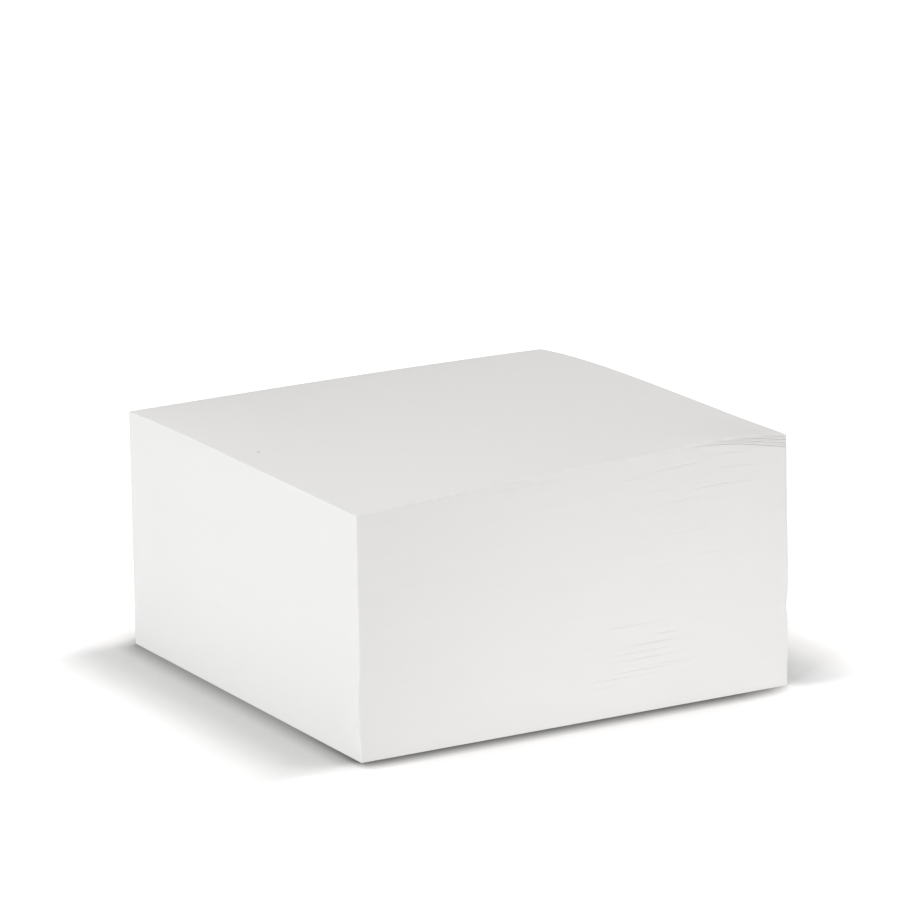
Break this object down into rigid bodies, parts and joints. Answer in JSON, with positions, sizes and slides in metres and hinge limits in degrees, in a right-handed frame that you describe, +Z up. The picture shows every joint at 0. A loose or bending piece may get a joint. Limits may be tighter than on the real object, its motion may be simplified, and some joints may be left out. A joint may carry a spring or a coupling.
{
  "type": "memo cube",
  "caption": "Plain white memo cube: a block of loose square note sheets, held together on one side by padding adhesive.",
  "frame": {"origin": "middle of the block's footprint, on the surface that it stands on", "axes": "+Z up through the sheets, +X from the bound side to the free side, +Y from the front to the back"},
  "size_m": [0.101, 0.1, 0.0548],
  "materials": {
    "paper": "matt white offset paper, 90 g/m2",
    "adhesive": "dried white padding adhesive, satin"
  },
  "bodies": {
    "root": {"paper_block": "paper", "glue_binding": "adhesive"}
  },
  "joints": []
}
